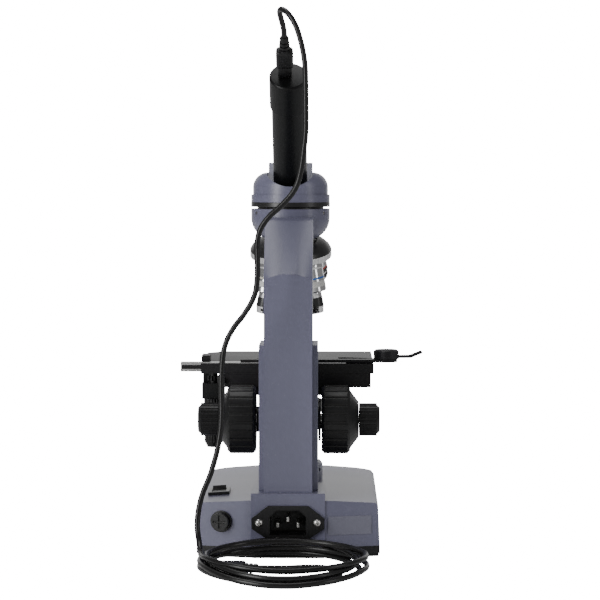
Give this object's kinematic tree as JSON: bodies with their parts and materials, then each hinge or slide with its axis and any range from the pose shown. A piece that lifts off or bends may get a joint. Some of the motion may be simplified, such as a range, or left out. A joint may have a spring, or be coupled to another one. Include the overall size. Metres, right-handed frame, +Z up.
{
  "type": "microscope",
  "caption": "Compound school microscope with inclined head, camera eyepiece on a cord, turret of objectives, mechanical stage, focus knobs and lit base.",
  "frame": {"origin": "centre of the base's underside, on the surface that the microscope stands on", "axes": "+Z up, +X to the right seen from the power inlet side, -Y towards the power inlet side"},
  "size_m": [0.1731, 0.3079, 0.377],
  "materials": {
    "grey_paint": "satin grey blue paint on cast metal",
    "black_plastic": "black moulded plastic, semi-matt",
    "black_gloss": "black moulded plastic, glossy",
    "black_paint": "black satin paint on metal",
    "camera_black": "black anodised finish",
    "steel": "bright turned steel",
    "chrome": "polished chrome",
    "glass": "clear coated optical glass",
    "rubber": "matt black rubber",
    "label": "blank satin foil plate",
    "board": "green circuit board",
    "cord_sheath": "black flexible cord sheath"
  },
  "bodies": {
    "root": {"base_housing": "grey_paint", "base_tray": "black_plastic", "base_feet": "rubber", "arm": "grey_paint", "stand_screws": "steel", "focus_housing": "grey_paint", "shaft_bushes": "black_plastic", "dovetail_guide": "steel", "power_inlet": "black_gloss", "inlet_pins": "steel", "small_screws": "chrome", "fuse_holder": "black_gloss", "fuse": "glass", "rating_plate": "label", "switch_frame": "black_gloss", "lamp_collar": "grey_paint", "collector_lens": "glass", "lamp": "glass", "power_board": "board", "nosepiece_mount": "black_paint", "nosepiece_pivot": "steel", "usb_cord": "cord_sheath", "usb_cord_coil": "cord_sheath", "usb_a_plug": "black_plastic"},
    "fuse_cap": {"fuse_cap": "black_gloss"},
    "rocker": {"switch_rocker": "black_gloss"},
    "head": {"head_housing": "grey_paint", "head_ring": "black_paint", "head_prism": "glass", "eyepiece_tube": "camera_black", "camera_body": "camera_black", "camera_cap": "camera_black", "camera_sensor": "glass", "usb_plug": "black_plastic"},
    "turret": {"nosepiece": "black_paint", "nosepiece_rim": "chrome", "objective_4x": "chrome", "objective_10x": "chrome", "objective_40x": "chrome", "objective_100x": "chrome"},
    "coarse": {"coarse_knobs": "black_gloss", "coarse_shaft": "steel"},
    "fine": {"fine_knobs": "black_gloss", "fine_shaft": "steel"},
    "tension": {"tension_ring": "black_plastic"},
    "stage": {"stage_carrier": "black_paint", "focus_rack": "steel", "lower_plate": "black_paint"},
    "stage_y": {"upper_plate": "black_paint", "xy_gearbox": "black_plastic"},
    "y_drive": {"y_knob": "black_plastic"},
    "x_drive": {"x_knob": "black_plastic"},
    "slide_carriage": {"x_rail": "steel", "slide_holder": "black_paint"},
    "clip": {"clip_finger": "black_paint"},
    "condenser": {"condenser": "black_paint", "condenser_lens": "glass"},
    "iris": {"iris_lever": "black_paint"},
    "filter": {"filter_holder": "black_paint"},
    "condenser_drive": {"condenser_knob": "black_plastic"}
  },
  "joints": [
    {"name": "head_swivel", "type": "hinge", "parent": "root", "child": "head", "pos_m": [0, 0.015, 0.24], "axis": [0, 0, 1], "range_deg": [-180, 180], "deforming": ["usb_cord"]},
    {"name": "nosepiece_turn", "type": "hinge", "parent": "root", "child": "turret", "pos_m": [0, 0.03287, 0.20069], "axis": [0, -0.2588, 0.9659], "continuous": true},
    {"name": "stage_lift", "type": "slide", "parent": "root", "child": "stage", "axis": [0, 0, 1], "range_m": [-0.006, 0.029]},
    {"name": "coarse_turn", "type": "hinge", "parent": "root", "child": "coarse", "pos_m": [0, -0.055, 0.092], "axis": [1, 0, 0], "range_deg": [-90, 420]},
    {"name": "fine_turn", "type": "hinge", "parent": "root", "child": "fine", "pos_m": [0, -0.055, 0.092], "axis": [1, 0, 0], "continuous": true},
    {"name": "tension_turn", "type": "hinge", "parent": "root", "child": "tension", "pos_m": [0.021, -0.055, 0.092], "axis": [1, 0, 0], "range_deg": [-45, 45]},
    {"name": "stage_y_slide", "type": "slide", "parent": "stage", "child": "stage_y", "axis": [0, 1, 0], "range_m": [0, 0.02]},
    {"name": "y_knob_turn", "type": "hinge", "parent": "stage_y", "child": "y_drive", "pos_m": [-0.055, -0.014, 0.098], "axis": [0, 0, 1], "range_deg": [-290, 5]},
    {"name": "stage_x_slide", "type": "slide", "parent": "stage_y", "child": "slide_carriage", "axis": [1, 0, 0], "range_m": [-0.026, 0.014]},
    {"name": "x_knob_turn", "type": "hinge", "parent": "stage_y", "child": "x_drive", "pos_m": [-0.055, -0.014, 0.079], "axis": [0, 0, 1], "range_deg": [-375, 205]},
    {"name": "clip_swing", "type": "hinge", "parent": "slide_carriage", "child": "clip", "pos_m": [0.069, -0.024, 0.133], "axis": [0, 0, -1], "range_deg": [0, 20], "stiffness_Nm_per_rad": 0.06, "springref_deg": -20.05},
    {"name": "condenser_lift", "type": "slide", "parent": "stage", "child": "condenser", "axis": [0, 0, 1], "range_m": [-0.012, 0]},
    {"name": "condenser_knob_turn", "type": "hinge", "parent": "stage", "child": "condenser_drive", "pos_m": [0, -0.025, 0.08605], "axis": [1, 0, 0], "range_deg": [-280, 5]},
    {"name": "iris_turn", "type": "hinge", "parent": "condenser", "child": "iris", "pos_m": [0, 0.015, 0.08405], "axis": [0, 0, 1], "range_deg": [-30, 30]},
    {"name": "filter_swing", "type": "hinge", "parent": "condenser", "child": "filter", "pos_m": [0, 0.034, 0.07905], "axis": [0, 0, 1], "range_deg": [0, 100]},
    {"name": "rocker_press", "type": "hinge", "parent": "root", "child": "rocker", "pos_m": [-0.0495, -0.0435, 0.03842], "axis": [0.9978, 0, 0.0656], "range_deg": [-22, 0]},
    {"name": "fuse_cap_turn", "type": "hinge", "parent": "root", "child": "fuse_cap", "pos_m": [-0.046, -0.08914, 0.025], "axis": [-0.2305, -0.9731, 0], "range_deg": [0, 45]}
  ],
  "couplings": [
    {"joint": "coarse_turn", "follows": "stage_lift", "rad_per_m": 250},
    {"joint": "y_knob_turn", "follows": "stage_y_slide", "rad_per_m": -250},
    {"joint": "x_knob_turn", "follows": "stage_x_slide", "rad_per_m": 250},
    {"joint": "condenser_knob_turn", "follows": "condenser_lift", "rad_per_m": 400}
  ]
}
